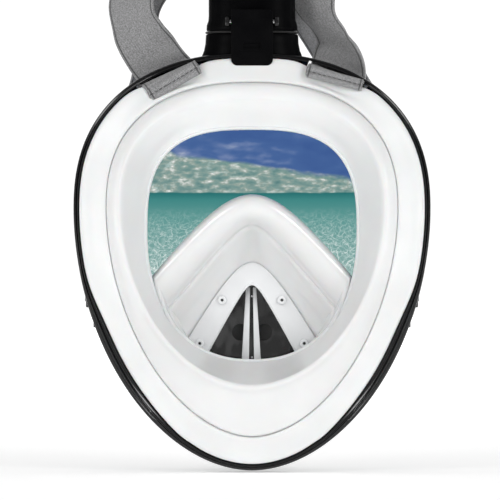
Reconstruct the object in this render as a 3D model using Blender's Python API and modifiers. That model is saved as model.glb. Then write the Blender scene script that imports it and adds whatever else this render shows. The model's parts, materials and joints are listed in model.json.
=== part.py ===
"""Full face snorkel mask, drawn in Blender. Run it with blender --background --python part.py
+Z is up, -Y is the wearer's side and +X is the wearer's right. The origin is on the plane of
symmetry, level with the widest part of the rim and in the plane of the frame's top and chin."""
import math

import bmesh
import bpy
from mathutils import Matrix, Vector

mm = 0.001  # every size below is in millimetres

# driving dimensions: the frame's outline and the sweep of its sides towards the ears
rim_half = 98.0
rim_up = 86.4
rim_down = 143.6
drawn_down = 143.6  # the rim_down that the levels of skirt, cup and housing are written for
brow_power = 2.38
chin_power = 1.85
side_sweep = 30.0
flat_half = 36.0
split_z = -34.0
gap = 0.3

# frame section
wall = 3.6
frame_back = -7.0
frame_front = 7.0
lip_back = 3.0
lip_width = 14.0
slot_play = 1.5
slot_wide = 3.6
slot_inset = 6.2
slot_beside = 26.0  # from the tube's side to the slot's middle

# lens and skirt
lens_thick = 2.4
lens_dome = 40.0
skirt_thick = 2.0
seat_inset = 8.6
swept_thickness = 1.4  # a wall on the swept sides is this much thicker along Y

# nose cup, its retainer and the front housing
cup_thick = 2.0
cup_front = 20.0
retainer_thick = 2.5
housing_half = 40.0
housing_mid = -60.0
housing_up = 33.0
housing_down = 34.0
housing_deep = cup_front + 30.0
housing_waist = cup_front + 20.0
housing_wall = 2.5
seat_back = cup_front + 9.0
seat_thick = 2.0
flap_thick = 1.0
drain_radius = 13.0
drain_z = -68.0
valve_radius = 8.0
screw_head = 2.5

# snorkel
tube_half = 24.0
tube_deep = 13.5
tube_wall = 1.8
tube_y = 10.0
tube_lean = 8.0
tube_foot = 87.4
tube_top = 300.0
collar_top = 97.0
collar_wall = 2.2
seal_thick = 1.4
cap_top = 341.0
float_foot = 306.0
float_tall = 16.0
pin_radius = 1.8
latch_half = 11.5
latch_foot = 79.0
latch_top = 110.0
latch_pin_z = 103.4

# harness
strap_half = 16.0
strap_thick = 1.6
lower_half = 11.0
yoke_y = 29.0
yoke_z = 150.0
clip_z = -62.0
clip_tilt = 16.472  # from the swept face's normal to the clip's outward direction
stud_inset = 8.8
clip_stand = 3.0
clip_thick = 3.0
stud_radius = 2.6


def start():
    for old in list(bpy.data.objects):
        bpy.data.objects.remove(old)
    for name in ("full_face_snorkel", "cutters"):
        bpy.context.scene.collection.children.link(bpy.data.collections.new(name))


def finish_of(name, color, roughness=0.4, metallic=0.0):
    material = bpy.data.materials.get(name) or bpy.data.materials.new(name)
    material.use_nodes = True
    shader = material.node_tree.nodes["Principled BSDF"]
    shader.inputs["Base Color"].default_value = (*color, 1)
    shader.inputs["Roughness"].default_value = roughness
    shader.inputs["Metallic"].default_value = metallic
    return material


def black():
    return finish_of("gloss_black", (0.02, 0.02, 0.022), 0.18)


def silicone():
    return finish_of("white_silicone", (0.86, 0.87, 0.88), 0.35)


def white():
    return finish_of("white_plastic", (0.9, 0.9, 0.9), 0.25)


def clear():
    return finish_of("clear_lens", (0.35, 0.6, 0.68), 0.05)


def steel():
    return finish_of("screw_steel", (0.6, 0.6, 0.6), 0.3, 1.0)


def webbing():
    return finish_of("grey_webbing", (0.3, 0.3, 0.32), 0.85)


def rubber():
    return finish_of("black_rubber", (0.03, 0.03, 0.03), 0.6)


def orange():
    return finish_of("orange_plastic", (0.9, 0.25, 0.03), 0.35)


def foam():
    return finish_of("float_plastic", (0.75, 0.75, 0.76), 0.5)


# ---- shapes -------------------------------------------------------------------------------

def keep(name, bm, material, smooth=40.0):
    bmesh.ops.recalc_face_normals(bm, faces=bm.faces)
    mesh = bpy.data.meshes.new(name)
    bm.to_mesh(mesh)
    bm.free()
    mesh.shade_smooth()
    mesh.set_sharp_from_angle(angle=math.radians(smooth))
    obj = bpy.data.objects.new(name, mesh)
    if material is None:
        obj.hide_render = True
        obj.display_type = "WIRE"
        bpy.data.collections["cutters"].objects.link(obj)
    else:
        mesh.materials.append(material)
        bpy.data.collections["full_face_snorkel"].objects.link(obj)
    return obj


def loft(name, rows, material, ring=True, closed=False, ends=False, smooth=40.0):
    """Faces between rows of points: ring joins each row to itself, closed joins the last
    row to the first, and ends fills the first and last rows of rings."""
    bm = bmesh.new()
    verts = [[bm.verts.new(Vector(p) * mm) for p in row] for row in rows]
    for a, b in zip(verts, verts[1:] + (verts[:1] if closed else [])):
        steps = len(a) if ring else len(a) - 1
        for i in range(steps):
            j = (i + 1) % len(a)
            bm.faces.new((a[i], a[j], b[j], b[i]))
    if ends:
        bm.faces.new(verts[0])
        bm.faces.new(verts[-1])
    return keep(name, bm, material, smooth)


def thicken(obj, thickness):
    mod = obj.modifiers.new("wall", "SOLIDIFY")
    mod.thickness = thickness * mm
    mod.offset = 0.0
    mod.use_even_offset = True
    return obj


def cut(obj, cutter, operation="DIFFERENCE"):
    mod = obj.modifiers.new(cutter.name, "BOOLEAN")
    mod.operation = operation
    mod.solver = "EXACT"
    mod.object = cutter
    return obj


def block(name, low, high, material=None, turn=None, about=(0, 0, 0)):
    bm = bmesh.new()
    bmesh.ops.create_cube(bm, size=1.0)
    size = [h - l for l, h in zip(low, high)]
    middle = [(h + l) / 2 for l, h in zip(low, high)]
    bmesh.ops.scale(bm, vec=size, verts=bm.verts)
    bmesh.ops.translate(bm, vec=middle, verts=bm.verts)
    if turn is not None:
        bmesh.ops.rotate(bm, cent=about, matrix=turn, verts=bm.verts)
    bmesh.ops.scale(bm, vec=(mm, mm, mm), verts=bm.verts)
    return keep(name, bm, material)


def rod(name, start_point, end_point, radius, material=None, sides=20, end_radius=None):
    start_point, end_point = Vector(start_point), Vector(end_point)
    along = end_point - start_point
    bm = bmesh.new()
    bmesh.ops.create_cone(bm, cap_ends=True, segments=sides, radius1=radius,
                          radius2=end_radius or radius, depth=along.length)
    bmesh.ops.rotate(bm, cent=(0, 0, 0), matrix=along.to_track_quat("Z", "Y").to_matrix(), verts=bm.verts)
    bmesh.ops.translate(bm, vec=(start_point + end_point) / 2, verts=bm.verts)
    bmesh.ops.scale(bm, vec=(mm, mm, mm), verts=bm.verts)
    return keep(name, bm, material)


def screw(name, seat, direction, length, radius=screw_head, material=None):
    """A pan head that stands a gap above its seat, with a shank that runs on past it."""
    seat, direction = Vector(seat), Vector(direction).normalized()
    head = rod(name, seat - direction * (gap + 1.4), seat - direction * gap, radius,
               material or steel(), end_radius=radius)
    shank = rod(name + "_shank", seat - direction * (gap + 0.7), seat + direction * length, radius * 0.45)
    return cut(head, shank, "UNION")


def screw_hole(obj, seat, direction, length, radius=screw_head):
    seat, direction = Vector(seat), Vector(direction).normalized()
    hole = rod(obj.name + "_hole_%d" % len(obj.modifiers), seat - direction * 3,
               seat + direction * (length + 1), radius * 0.45 + gap)
    return cut(obj, hole)


def bend(x):
    over = max(0.0, abs(x) - flat_half)
    return -side_sweep * (over / (rim_half - flat_half)) ** 2


def face_normal(x):
    over = max(0.0, abs(x) - flat_half)
    slope = 2 * side_sweep * over / (rim_half - flat_half) ** 2
    return Vector((math.copysign(slope, x), 1, 0)).normalized()


def egg(half, mid, up, down, up_power, down_power, turn):
    """A point of an egg-shaped outline: half its width, its widest level, and its heights
    above and below that level, each with its own roundness."""
    c, s = math.cos(turn), math.sin(turn)
    power, tall = (up_power, up) if s >= 0 else (down_power, down)
    x = half * math.copysign(abs(c) ** (2 / power), c)
    z = mid + tall * math.copysign(abs(s) ** (2 / power), s)
    return x, z


def lowered(z):
    """A level below the eyes, which moves with the chin."""
    return z * rim_down / drawn_down if z < 0 else z


def face_ring(half, mid, up, down, up_power, down_power, y_up, y_side, y_down, count=44):
    """An egg that lies on the swept face, with its own depth at the brow, sides and chin."""
    points = []
    for i in range(count):
        turn = 2 * math.pi * i / count
        x, z = egg(half, mid, up, down, up_power, down_power, turn)
        weight = math.sin(turn) ** 2
        y = y_side + ((y_up if turn < math.pi else y_down) - y_side) * weight
        points.append((x, y + bend(x), lowered(z)))
    return points


def flat_ring(half, mid, up, down, up_power, down_power, y, count=32):
    points = []
    for i in range(count):
        x, z = egg(half, mid, up, down, up_power, down_power, 2 * math.pi * i / count)
        points.append((x, y, lowered(z)))
    return points


def rim_point(inset, y, turn):
    x, z = egg(rim_half - inset, 0, rim_up - inset, rim_down - inset, brow_power, chin_power, turn)
    return x, y + bend(x), z


def rim_ring(inset, y, count=52):
    return [rim_point(inset, y, 2 * math.pi * i / count) for i in range(count)]


def rim_turn(z):
    """The outline's angle at a height on the wearer's right."""
    if z >= 0:
        return math.asin((z / rim_up) ** (brow_power / 2))
    return -math.asin((-z / rim_down) ** (chin_power / 2))


def rim_strip(name, section, first, last, steps, material):
    rows = []
    for i in range(steps + 1):
        turn = first + (last - first) * i / steps
        rows.append([rim_point(inset, y, turn) for inset, y in section])
    return loft(name, rows, material, ends=True, smooth=35)


def oval(half, deep, z, y=tube_y, count=24, power=2.4):
    points = []
    for i in range(count):
        x, yy = egg(half, 0, deep, deep, power, power, 2 * math.pi * i / count)
        points.append((x, y + yy, z))
    return points


def ribbon(name, stations, material, half=strap_half, thickness=strap_thick, steps=3):
    """A band through stations of centre and width direction, rounded by Catmull-Rom arcs."""
    centres = [Vector(s[0]) for s in stations]
    widths = [Vector(s[1]).normalized() for s in stations]

    def spline(values, i, t):
        a, b = values[max(i - 1, 0)], values[i]
        c, d = values[i + 1], values[min(i + 2, len(values) - 1)]
        return 0.5 * (2 * b + (c - a) * t + (2 * a - 5 * b + 4 * c - d) * t * t + (3 * b - a - 3 * c + d) * t ** 3)

    rows = []
    for i in range(len(stations) - 1):
        for k in range(steps):
            rows.append((spline(centres, i, k / steps), spline(widths, i, k / steps).normalized()))
    rows.append((centres[-1], widths[-1]))
    lines = [[c - w * half, c, c + w * half] for c, w in rows]
    return thicken(loft(name, lines, material, ring=False), thickness)


# ---- frame, lens and skirt ------------------------------------------------------------------

def frame_section(extra_wall=0.0):
    return [(0, frame_back), (0, frame_front), (lip_width, frame_front), (lip_width, lip_back),
            (wall + extra_wall, lip_back), (wall + extra_wall, frame_back)]


def split_seats():
    """Screw seats beside the splits, two in each frame half's lip."""
    seats = []
    for side in (1, -1):
        for z in (split_z + 9, split_z - 9):
            x, y, z = rim_point(11.2, frame_front, rim_turn(z))
            seats.append((side * x, y, z))
    return seats


def slot_place(side):
    """Middle of an upper strap's slot."""
    slot_x = tube_half + slot_beside
    turn = rim_turn(rim_up * (1 - (slot_x / rim_half) ** brow_power) ** (1 / brow_power))
    x, y, z = rim_point(slot_inset, frame_front, turn)
    return Vector((side * x, y, z))


def frame():
    split = rim_turn(split_z)
    crack = gap / rim_half
    upper = rim_strip("upper_frame", frame_section(), split, math.pi - split, 36, black())
    lower = rim_strip("lower_frame", frame_section(1.6), -math.pi - split + crack, split - crack, 32, black())
    collar_foot = rim_up - 6.4
    bore = (tube_half - 0.8 + gap, tube_deep - 1.4 + gap)
    lip = (bore[0] + collar_wall, bore[1] + collar_wall)
    collar = loft("collar", [oval(lip[0] + 3.5, lip[1] + 2, collar_foot), oval(*lip, collar_top),
                             oval(*bore, collar_top), oval(*bore, collar_foot + 3)], None, ends=True)
    cut(upper, collar, "UNION")
    cut(upper, block("air_port", (-15, -2, rim_up - 16), (15, lip_back - 0.5, tube_foot + 3)))
    for side in (1, -1):
        tilt = Matrix.Rotation(side * math.radians(24), 3, "Y")
        middle = slot_place(side)
        cut(upper, block("slot_%d" % side, middle - Vector((strap_half + slot_play, 18, slot_wide / 2)),
                         middle + Vector((strap_half + slot_play, 8, slot_wide / 2)), None, tilt, middle))
    for i, seat in enumerate(split_seats()):
        owner = upper if seat[2] > split_z else lower
        screw_hole(owner, seat, -face_normal(seat[0]), 2.6, 2.0)
        screw("frame_screw_%d" % (i + 1), seat, -face_normal(seat[0]), 2.6, 2.0)
    for side in (1, -1):
        base, outward = clip_place(side), clip_axes(side)[1]
        cut(lower, rod("boss_%d" % side, base - outward * 2.5, base + outward * clip_stand, stud_radius + 2.4), "UNION")
        tip = clip_stand + clip_thick + 0.4
        cut(lower, rod("stud_%d" % side, base - outward, base + outward * tip, stud_radius), "UNION")


def lens_edge_y():
    return lip_back - gap - lens_thick / 2 * swept_thickness


def lens():
    edge_y = lens_edge_y()
    rings = [rim_ring(seat_inset, edge_y), rim_ring(15.5, edge_y)]
    for inset, share in ((18.5, 0.2), (25, 0.42), (36, 0.66), (52, 0.87), (74, 1.0)):
        rings.append(rim_ring(inset, edge_y + (lens_dome - edge_y) * share))
    bm_lens = loft("lens", rings, clear(), ends=False)
    mesh = bm_lens.data
    bm = bmesh.new()
    bm.from_mesh(mesh)
    bmesh.ops.holes_fill(bm, edges=[e for e in bm.edges if e.is_boundary and abs(e.verts[0].co.x) < 30 * mm], sides=0)
    bmesh.ops.recalc_face_normals(bm, faces=bm.faces)
    bm.to_mesh(mesh)
    bm.free()
    thicken(bm_lens, lens_thick)
    grow = gap + 0.2
    hole = [flat_ring(housing_half + grow, housing_mid, housing_up + grow, housing_down + grow, 2.4, 2.4, y)
            for y in (26, 70)]
    cut(bm_lens, loft("lens_hole", hole, None, ends=True))


def skirt_rings():
    root_y = lens_edge_y() - (lens_thick + skirt_thick) / 2 * swept_thickness - gap
    root, bead, flange = seat_inset + 0.9, seat_inset + 0.2, seat_inset + 3.4
    rings = []
    for inset, y in ((root, root_y), (bead, root_y - 4.8), (flange, root_y - 7.8)):
        rings.append(rim_ring(inset, y, 44))
    rings.append(face_ring(78, 0, 68, 124, 2.4, 1.85, -12, -12, -14))
    rings.append(face_ring(71, -1, 60, 110, 2.4, 1.8, -22, -26, -24))
    rings.append(face_ring(65, -4, 54, 94, 2.5, 1.7, -18, -22, -30))
    rings.append(face_ring(57, -12, 57, 71, 2.6, 1.6, -8, -9, 10))
    return rings


def cup_rings():
    front = cup_front
    return [
        face_ring(57, -37, 44, 62, 1.35, 1.35, front - 30, front - 23, front - 1.6),
        face_ring(51, -38, 31, 58, 1.4, 1.4, front - 35, front - 21, front - 1.2),
        face_ring(48, -43, 22, 51, 1.8, 1.7, front - 20, front - 14, front - 0.8),
        face_ring(46, -55, 29, 39, 2.2, 2.9, front - 4, front - 4, front - 0.4),
        face_ring(43, -58, 30, 34, 2.2, 3.4, front, front, front),
        face_ring(24.5, -77, 34, 8, 1.05, 2, front, front, front),
    ]


def skirt():
    thicken(loft("face_skirt", skirt_rings(), silicone(), smooth=60), skirt_thick)


def valve_places():
    """Centre and axis of the inhale valves in the roof of the nose cup."""
    rings = cup_rings()
    count = len(rings[0])
    places = []
    for side in (1, -1):
        i = round(count / 8) if side > 0 else round(count * 3 / 8)
        a, b = Vector(rings[2][i]), Vector(rings[3][i])
        around = Vector(rings[2][i + 1]) - Vector(rings[2][i - 1])
        normal = around.cross(b - a).normalized()
        if normal.z < 0:
            normal = -normal
        places.append(((a + b) / 2, normal))
    return places


def nose_cup():
    cup = thicken(loft("nose_cup", cup_rings(), silicone(), smooth=60), cup_thick)
    for side, (middle, normal) in zip(("right", "left"), valve_places()):
        cut(cup, rod("valve_hole_" + side, middle - normal * 12, middle + normal * 12, valve_radius + gap))
        seat = rod("inhale_valve_seat_" + side, middle - normal * 2.5, middle + normal * 2.5, valve_radius, white())
        cut(seat, rod("valve_bore_" + side, middle - normal * 4, middle + normal * 4, valve_radius - 2))
        low = middle - normal * (2.5 + gap + flap_thick)
        rod("inhale_flap_" + side, low, low + normal * flap_thick, valve_radius - 1, silicone())
    for seat in cup_screw_seats():
        screw_hole(cup, seat, (0, 1, 0), 6)


# ---- mouth stack -----------------------------------------------------------------------------

def cup_screw_seats():
    y = cup_front - cup_thick / 2 - gap - retainer_thick
    return [(x, y, lowered(z)) for x, z in ((-16.6, -50), (16.6, -50), (-29, -74), (29, -74))]


def retainer():
    near = cup_front - cup_thick / 2 - gap - retainer_thick
    far = near + retainer_thick
    outer = (34.5, -75, 44, 13, 1.4, 1.6)
    inner = (24.5, -77, 34, 8, 1.05, 2)
    plate = loft("cup_retainer", [flat_ring(*outer, near), flat_ring(*outer, far),
                                  flat_ring(*inner, far), flat_ring(*inner, near)], white(), closed=True)
    for i, seat in enumerate(cup_screw_seats()):
        screw_hole(plate, seat, (0, 1, 0), 6)
        screw("cup_screw_%d" % (i + 1), seat, (0, 1, 0), 6.8, material=white())


def housing():
    back = cup_front + cup_thick / 2 + gap
    body = (housing_half, housing_mid, housing_up, housing_down, 2.4, 2.4)
    nose = (housing_half - 7, housing_mid, housing_up - 6, housing_down - 6, 2.4, 2.4)
    hole = (24.5, -77, 34, 8, 1.05, 2)

    def shrink(shape, by):
        return (shape[0] - by, shape[1], shape[2] - by, shape[3] - by, *shape[4:])

    rows = [flat_ring(*body, back), flat_ring(*body, housing_waist), flat_ring(*nose, housing_deep),
            flat_ring(*shrink(nose, housing_wall), housing_deep), flat_ring(*shrink(body, housing_wall), housing_waist),
            flat_ring(*shrink(body, housing_wall), back + 3), flat_ring(*hole, back + 3), flat_ring(*hole, back)]
    shell = loft("front_housing", rows, black(), closed=True)
    for seat in cup_screw_seats():
        screw_hole(shell, seat, (0, 1, 0), 6.8)
    seat_shape = shrink(body, housing_wall + gap)
    seat = loft("drain_valve_seat", [flat_ring(*seat_shape, seat_back), flat_ring(*seat_shape, seat_back + seat_thick)],
                black(), ends=True)
    for side in (1, -1):
        x = side * drain_radius * 0.5
        cut(seat, rod("drain_hole_%d" % side, (x, seat_back - 1, lowered(drain_z)),
                      (x, seat_back + seat_thick + 1, lowered(drain_z)), drain_radius * 0.36))
    flap_y = seat_back + seat_thick + gap
    rod("drain_flap", (0, flap_y, lowered(drain_z)), (0, flap_y + flap_thick, lowered(drain_z)), drain_radius,
        rubber(), sides=28)
    lid = shrink(nose, housing_wall + gap)
    cover = loft("drain_cover", [flat_ring(*lid, housing_deep - 3), flat_ring(*lid, housing_deep)], black(), ends=True)
    for k in range(5):
        z = lowered(housing_mid + 12 - 6 * k)
        cut(cover, block("louvre_%d" % k, (-16, housing_deep - 5, z - 1.3), (16, housing_deep + 2, z + 1.3)))
    post_far = seat_back - gap
    post = block("centre_post", (-5, post_far - 4, lowered(-88)), (4.5, post_far, lowered(-44)), white())
    cut(post, block("post_slit", (-0.9, post_far - 6, lowered(-86)), (0.9, post_far - 2, lowered(-46))))
    for name, z in (("post_screw_top", -48), ("post_screw_bottom", -82)):
        rod(name, (0, post_far - 3.4, lowered(z)), (0, post_far - 2 - gap, lowered(z)), 0.6, steel(), sides=12)


def duct_covers():
    """Covers of the breathing ducts that run up both lower sides of the lens."""
    low, high = frame_front + gap, frame_front + 3.4
    section = [(2, low), (2, high), (9, high), (9, low)]
    for name, first, last in (("side_duct_cover_right", rim_turn(-118), rim_turn(-78)),
                              ("side_duct_cover_left", -math.pi - rim_turn(-78), -math.pi - rim_turn(-118))):
        rim_strip(name, section, first, last, 10, black())


# ---- snorkel ---------------------------------------------------------------------------------

def tube_centre(z):
    rise = max(0.0, (z - collar_top - 8) / (tube_top - collar_top - 8))
    return tube_y - tube_lean * rise * rise


def snorkel():
    shoulder = collar_top + gap + seal_thick + gap
    levels = [shoulder + 8, shoulder + 40, shoulder + 80, shoulder + 120, shoulder + 160, tube_top]
    spigot = (tube_half - 0.8, tube_deep - 1.4)
    outside = [oval(*spigot, tube_foot), oval(*spigot, shoulder), oval(tube_half + 1.2, tube_deep + 0.8, shoulder)]
    outside += [oval(tube_half, tube_deep, z, tube_centre(z)) for z in levels]
    inside = [oval(tube_half - tube_wall, tube_deep - tube_wall, z, tube_centre(z)) for z in reversed(levels)]
    inside += [oval(spigot[0] - tube_wall, spigot[1] - tube_wall, tube_foot)]
    tube = loft("snorkel_tube", outside + inside, black(), closed=True)
    back = tube_y - tube_deep
    for side in (1, -1):
        x = side * (latch_half + 2)
        lug = block("lug_%d" % side, (x - 1.2, back - 5, latch_pin_z - 2.6), (x + 1.2, back + 1.9, latch_pin_z + 2.6))
        cut(tube, lug, "UNION")
        cut(tube, rod("lug_hole_%d" % side, (x - 3, latch_y(), latch_pin_z), (x + 3, latch_y(), latch_pin_z), 1.5))
    seal_low = collar_top + gap
    outer, inner = (tube_half + 1.6, tube_deep + 1), (spigot[0] + gap, spigot[1] + gap)
    loft("foot_seal", [oval(*outer, seal_low), oval(*outer, seal_low + seal_thick),
                       oval(*inner, seal_low + seal_thick), oval(*inner, seal_low)], rubber(), closed=True)
    for side, name in ((1, "tube_divider_right"), (-1, "tube_divider_left")):
        x = side * 9.0
        rows = []
        for z in levels:
            y, reach = tube_centre(z), (tube_deep - tube_wall - 2 * gap) * 0.94
            rows.append([(x - 0.6, y - reach, z), (x + 0.6, y - reach, z), (x + 0.6, y + reach, z), (x - 0.6, y + reach, z)])
        loft(name, rows, black(), ends=True)


def latch_y():
    return tube_y - tube_deep - 3.0


def latch():
    y = latch_y()
    plate = block("latch_tab", (-latch_half, y - 4.6, latch_foot), (latch_half, y - 1.6, latch_top), black())
    boss = block("latch_boss", (-latch_half, y - 2.6, latch_pin_z - 2.4), (latch_half, y + 1.7, latch_pin_z + 2.4))
    cut(plate, boss, "UNION")
    cut(plate, rod("latch_bore", (-20, y, latch_pin_z), (20, y, latch_pin_z), 1.5))
    cut(plate, block("latch_window", (-4.7, y - 6, 90.5), (4.7, y - 3.6, 93)))
    rod("latch_pin", (-latch_half - 3, y, latch_pin_z), (latch_half + 3, y, latch_pin_z), 1.2, steel(), sides=14)


def dry_top():
    y = tube_centre(tube_top)
    low, top = tube_top - 10, tube_top + 4
    fit = (tube_half + gap, tube_deep + gap)
    loft("dry_top_base", [
        oval(tube_half + 3, tube_deep + 2.6, low, y), oval(tube_half + 4, tube_deep + 3.6, top, y),
        oval(21, 10.5, top, y), oval(21, 10.5, tube_top + gap, y),
        oval(*fit, tube_top + gap, y), oval(*fit, low, tube_centre(low))], black(), closed=True)
    foot = top + gap
    cap = loft("top_cap", [
        oval(tube_half + 5, tube_deep + 4.6, foot, y), oval(tube_half + 5, tube_deep + 4.6, cap_top - 12, y),
        oval(tube_half - 1, tube_deep - 1, cap_top, y)], orange(), ends=True)
    cut(cap, loft("cap_room", [
        oval(tube_half + 3, tube_deep + 2.6, foot - 2, y), oval(tube_half + 3, tube_deep + 2.6, cap_top - 13, y),
        oval(tube_half - 3, tube_deep - 3, cap_top - 2.2, y)], None, ends=True))
    for k in range(3):
        z = foot + 3 + 5 * k
        cut(cap, block("cap_inlet_%d" % k, (-40, y - 6, z), (40, y + 6, z + 2.6)))
    bore = pin_radius + gap
    float_top = float_foot + float_tall
    loft("float", [oval(18, 9, float_foot, y), oval(18, 9, float_top, y),
                   oval(bore, bore, float_top, y), oval(bore, bore, float_foot, y)], foam(), closed=True)
    loft("float_seal", [oval(19, 10, float_top + gap, y), oval(19, 10, float_top + gap + 1.6, y),
                        oval(bore, bore, float_top + gap + 1.6, y), oval(bore, bore, float_top + gap, y)],
         rubber(), closed=True)
    rod("float_guide_pin", (0, y, top - 1), (0, y, cap_top - 2.2 - gap), pin_radius, steel(), sides=16)
    for i, x in enumerate((-13, 13)):
        seat = (x, y, cap_top)
        screw_hole(cap, seat, (0, 0, -1), 4, 2.2)
        screw("cap_screw_%d" % (i + 1), seat, (0, 0, -1), 4, 2.2)


# ---- harness ---------------------------------------------------------------------------------

def clip_place(side):
    x, y, z = rim_point(stud_inset, frame_front, rim_turn(clip_z))
    return Vector((side * x, y, z))


def clip_axes(side):
    """Width, outward and upward directions of a lower clip, whose face looks half sideways."""
    normal = face_normal(clip_place(side).x)
    angle = math.atan2(abs(normal.x), normal.y) + math.radians(clip_tilt)
    outward = Vector((side * math.sin(angle), math.cos(angle), 0))
    return Vector((-side * math.cos(angle), math.sin(angle), 0)), outward, Vector((0, 0, 1))


def along(name, middle, axes, low, high, material=None):
    """A block given along three directions from a middle point."""
    turn = Matrix(axes).transposed()
    return block(name, middle + Vector(low), middle + Vector(high), material, turn, middle)


def upper_routes():
    """Centre and width direction of the upper straps from the hem to the yoke. All but the last two
    points are drawn outwards and upwards from the middle of the slot."""
    shoulder = [(-3.34, -18, -10.46), (-1.84, -17, -5.96), (-0.44, -13.6, -1.96),
                (0.06, -2, 0.24), (0.16, 6, 0.64), (1.36, 11, 4.54)]
    left = [(p, (14.7, 1.8, 6.6)) for p in shoulder]
    left += [((5.16, 11.5, 11.04), (15.5, 0, 4)), ((13.16, 12, 23.04), (15.4, -3, 0)),
             ((19.16, 16, 39.04), (12, -10, 0)), ((13.16, 21, 57.04), (11, -7, 7))]
    right = [(p, (14.7, -1.8, -6.6)) for p in shoulder]
    right += [((0.66, 12.5, 13.04), (15.8, 0, -4)), ((-4.84, 16, 27.04), (15, -2, -5)),
              ((-9.84, 20, 41.04), (14, -2, -7)), ((-13.84, 23, 55.04), (15, -1, 3))]
    routes = []
    for side, points in ((-1, left), (1, right)):
        slot = slot_place(side)
        routes.append([((slot.x + side * out, y, slot.z + up), width) for (out, y, up), width in points])
    routes[0] += [((-40, yoke_y - 4, 147), (5, -1, 14)), ((-19, yoke_y - 1.9, 152), (1, 0, 16))]
    routes[1] += [((27, yoke_y - 4, 142), (9, 0, 13)), ((19, yoke_y - 1.9, 152), (1, 0, 16))]
    return routes


def straight_stretch(side):
    """The straight part of a lower strap, where its adjuster slides."""
    return Vector((side * (rim_half - 15.5), 27, 16)), Vector((side * (rim_half - 14.5), 12, -24))


def lower_tops():
    """Centre and width direction of the lower straps from the yoke to the straight stretch."""
    front = yoke_y + 3.8
    left = [((-14, front, 136), (0.2, 0, -1)), ((-32, front + 1.5, 137), (0.1, 0, -1)),
            ((-51, 40, 130), (0.5, 0, -0.87)), ((-62, 45, 114), (0.9, 0.2, -0.4)),
            ((-60, 47, 96), (0.9, 0.4, -0.1)), ((-57.5, 47.5, 79), (0.85, 0.5, 0.1)),
            ((-65, 45, 60), (0.8, 0.6, 0.15)), ((21.5 - rim_half, 38, 39), (0.7, 0.7, 0))]
    right = [((14, front, 134), (-0.7, 0, -0.7)), ((24, front + 1.2, 120), (-0.7, 0, -0.7)),
             ((35, 42, 104), (-0.7, 0, -0.7)), ((46, 47, 87), (-0.7, 0.15, -0.56)),
             ((56, 47.5, 71), (-0.73, 0.45, -0.35)), ((67, 44, 56), (-0.7, 0.6, -0.2)),
             ((rim_half - 21, 37, 39), (-0.64, 0.77, 0))]
    return {"left": left, "right": right}


def lower_route(side, top):
    width, outward, up = clip_axes(side)
    start_point, end_point = straight_stretch(side)
    foot = clip_place(side) + outward * (clip_stand + clip_thick + gap + strap_thick / 2 + 0.2) + up * 8
    straight = (start_point, start_point.lerp(end_point, 0.5), end_point, end_point.lerp(foot, 0.5), foot)
    return top + [(point, width) for point in straight]


def harness():
    left, right = upper_routes()
    ribbon("upper_strap_left", left, webbing())
    ribbon("upper_strap_right", right, webbing())
    shape = (30, yoke_z, 24, 26, 2.8, 2.8)
    loft("back_yoke", [flat_ring(*shape, yoke_y), flat_ring(*shape, yoke_y + 2.4)], webbing(), ends=True)
    tops = lower_tops()
    for side, word in ((-1, "left"), (1, "right")):
        ribbon("lower_strap_" + word, lower_route(side, tops[word]), webbing(), lower_half, steps=3)
        width, outward, up = clip_axes(side)
        start_point, end_point = straight_stretch(side)
        run = (end_point - start_point).normalized()
        across = (width - run * width.dot(run)).normalized()
        axes = (across, across.cross(run), run)
        middle = (start_point + end_point) / 2
        ring = along("strap_adjuster_" + word, middle, axes, (-14, -2.9, -5), (14, 2.9, 5), black())
        cut(ring, along("adjuster_gap_" + word, middle, axes, (-lower_half - 0.7, -1.6, -7),
                        (lower_half + 0.7, 1.6, 7)))
        base = clip_place(side)
        low, high = clip_stand + gap, clip_stand + clip_thick
        clip = along("lower_clip_" + word, base, (width, outward, up),
                     (-lower_half - 1.5, low, 4.5), (lower_half + 1.5, high, 16), black())
        cut(clip, along("clip_foot_" + word, base, (width, outward, up),
                        (-stud_radius - 4, low + 0.2, -stud_radius - 4), (stud_radius + 4, high - 0.2, 6)), "UNION")
        cut(clip, rod("clip_hole_" + word, base, base + outward * 12, stud_radius + gap))
        cut(clip, along("clip_slot_" + word, base, (width, outward, up), (-lower_half, -2, 9), (lower_half, 12, 12.5)))


def build():
    start()
    frame()
    lens()
    skirt()
    nose_cup()
    retainer()
    housing()
    duct_covers()
    snorkel()
    latch()
    dry_top()
    harness()


build()
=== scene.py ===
import json
import math

import bmesh
import bpy
from mathutils import Matrix, Vector


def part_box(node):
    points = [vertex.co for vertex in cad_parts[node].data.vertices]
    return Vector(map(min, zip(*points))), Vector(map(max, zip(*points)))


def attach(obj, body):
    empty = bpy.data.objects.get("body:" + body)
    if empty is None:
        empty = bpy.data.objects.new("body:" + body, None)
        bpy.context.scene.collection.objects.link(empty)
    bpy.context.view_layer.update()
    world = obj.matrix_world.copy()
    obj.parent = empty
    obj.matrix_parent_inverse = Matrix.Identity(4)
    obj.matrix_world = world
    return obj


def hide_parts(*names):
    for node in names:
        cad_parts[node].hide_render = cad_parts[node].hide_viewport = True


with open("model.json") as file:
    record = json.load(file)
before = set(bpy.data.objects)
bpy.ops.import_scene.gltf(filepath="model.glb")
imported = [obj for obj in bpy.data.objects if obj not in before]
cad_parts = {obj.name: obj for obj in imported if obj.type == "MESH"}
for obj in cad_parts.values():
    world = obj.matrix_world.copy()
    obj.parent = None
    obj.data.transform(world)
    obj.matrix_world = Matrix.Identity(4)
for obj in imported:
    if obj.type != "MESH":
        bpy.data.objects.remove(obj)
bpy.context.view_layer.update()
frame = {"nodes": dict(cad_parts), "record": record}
mm = 0.001
fullTurn = 2 * math.pi


# finishes, each on Object coordinates unless it says otherwise

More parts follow.
